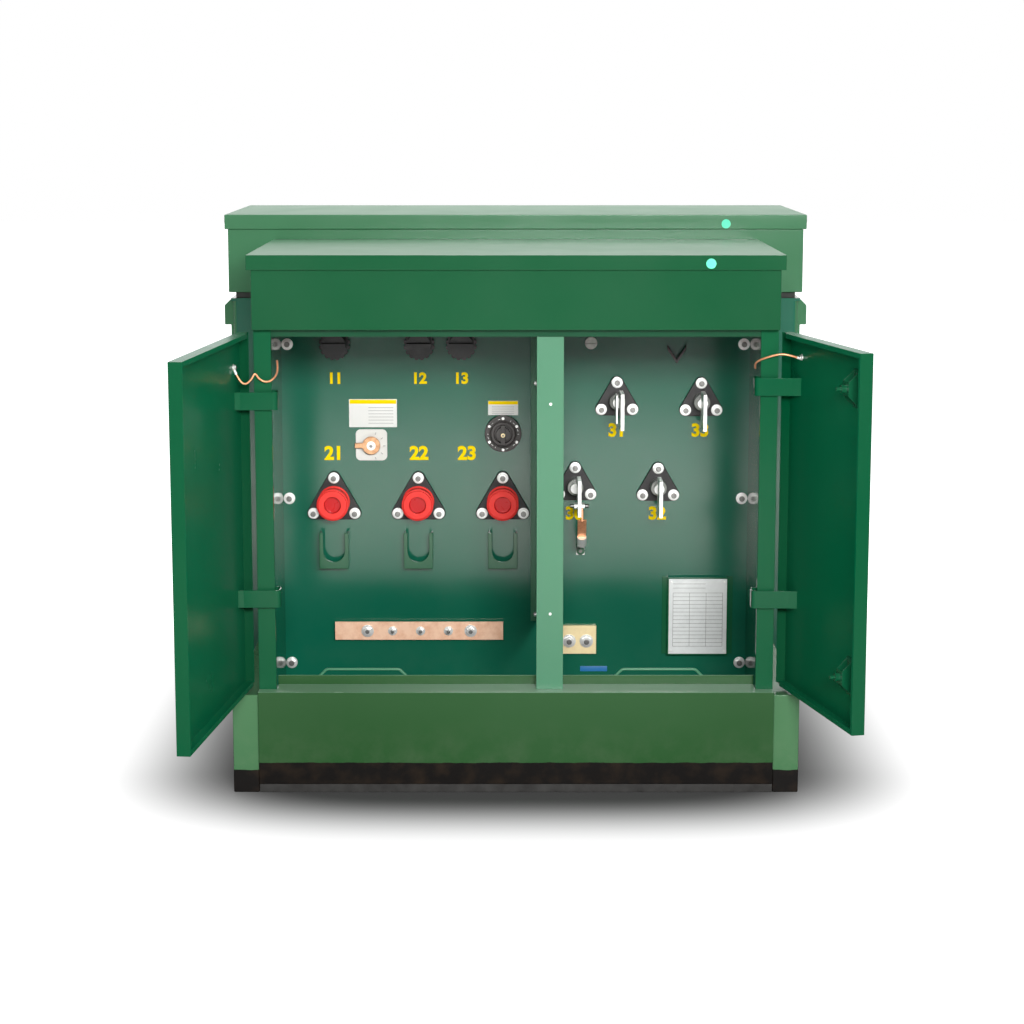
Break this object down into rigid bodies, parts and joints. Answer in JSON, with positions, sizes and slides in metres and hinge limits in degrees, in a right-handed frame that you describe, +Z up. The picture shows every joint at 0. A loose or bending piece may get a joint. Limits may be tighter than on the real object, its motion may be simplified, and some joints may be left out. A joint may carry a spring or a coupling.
{
  "type": "pad-mounted transformer",
  "caption": "Green pad-mounted power transformer: oil tank with cover box, and a terminal cabinet with two open hinged doors, bushings and terminals inside.",
  "frame": {"origin": "on the ground under the centre of the oil tank", "axes": "+Z up, -Y out of the open cabinet towards the person at the doors, +X to that person's right"},
  "size_m": [1.6391, 2.0132, 1.447],
  "materials": {
    "tank_green": "gloss",
    "cabinet_green": "gloss",
    "base_paint": "gloss",
    "undercoat_black": "matte",
    "door_green": "gloss",
    "divider_green": "satin",
    "gasket_rubber": "matte",
    "black_moulding": "satin",
    "dark_moulding": "satin",
    "red_moulding": "gloss",
    "white_plate": "satin",
    "copper": "satin",
    "tinned_copper": "satin",
    "nameplate_metal": "satin",
    "zinc_steel": "satin"
  },
  "bodies": {
    "housing": {"tank_body": "tank_green", "cover_gasket": "gasket_rubber", "tank_cover_box": "tank_green", "tank_cover_cap": "tank_green", "right_lifting_lugs": "tank_green", "left_lifting_lugs": "tank_green", "right_base_rail": "base_paint", "left_base_rail": "base_paint", "front_base_rail": "undercoat_black", "right_cabinet_wall": "cabinet_green", "left_cabinet_wall": "cabinet_green", "right_jamb": "cabinet_green", "left_jamb": "cabinet_green", "cabinet_hood": "cabinet_green", "hood_cap": "cabinet_green", "header_channel": "cabinet_green", "front_sill": "base_paint", "sill_handles": "cabinet_green", "divider": "divider_green", "hv_bushings": "black_moulding", "hv_dust_caps": "red_moulding", "parking_stands": "cabinet_green", "fuse_holders": "black_moulding", "tap_changer_plate": "white_plate", "switch_disc": "dark_moulding", "ground_bar": "copper", "ground_bar_standoffs": "cabinet_green", "lv_bushings": "black_moulding", "lv_spades": "tinned_copper", "lv_ground_pad": "copper", "neutral_strap": "copper", "nameplate_bracket": "cabinet_green", "nameplate": "nameplate_metal", "fill_plug": "zinc_steel", "vee_bracket": "black_moulding", "left_hinge_brackets": "cabinet_green", "right_hinge_brackets": "cabinet_green", "left_bonding_lead": "copper", "right_bonding_lead": "copper"},
    "left_door": {"left_door": "door_green", "left_hinge_straps": "door_green"},
    "right_door": {"right_door": "door_green", "right_hinge_straps": "door_green", "door_latches": "door_green", "door_pull": "dark_moulding"},
    "tap_handle": {"tap_changer_handle": "copper"},
    "switch_handle": {"switch_hub": "dark_moulding"}
  },
  "joints": [
    {"name": "left_door_hinge", "type": "hinge", "parent": "housing", "child": "left_door", "pos_m": [-0.632, -0.978, 0.72], "axis": [0, 0, 1], "range_deg": [-6, 96], "deforming": ["left_bonding_lead"]},
    {"name": "right_door_hinge", "type": "hinge", "parent": "housing", "child": "right_door", "pos_m": [0.632, -0.978, 0.72], "axis": [0, 0, 1], "range_deg": [-103, 6], "deforming": ["right_bonding_lead"]},
    {"name": "tap_changer_turn", "type": "hinge", "parent": "housing", "child": "tap_handle", "pos_m": [-0.404, -0.325, 0.797], "axis": [0, -1, 0], "range_deg": [-60, 60]},
    {"name": "load_switch_turn", "type": "hinge", "parent": "housing", "child": "switch_handle", "pos_m": [-0.035, -0.335, 0.83], "axis": [0, -1, 0], "range_deg": [0, 90]}
  ]
}
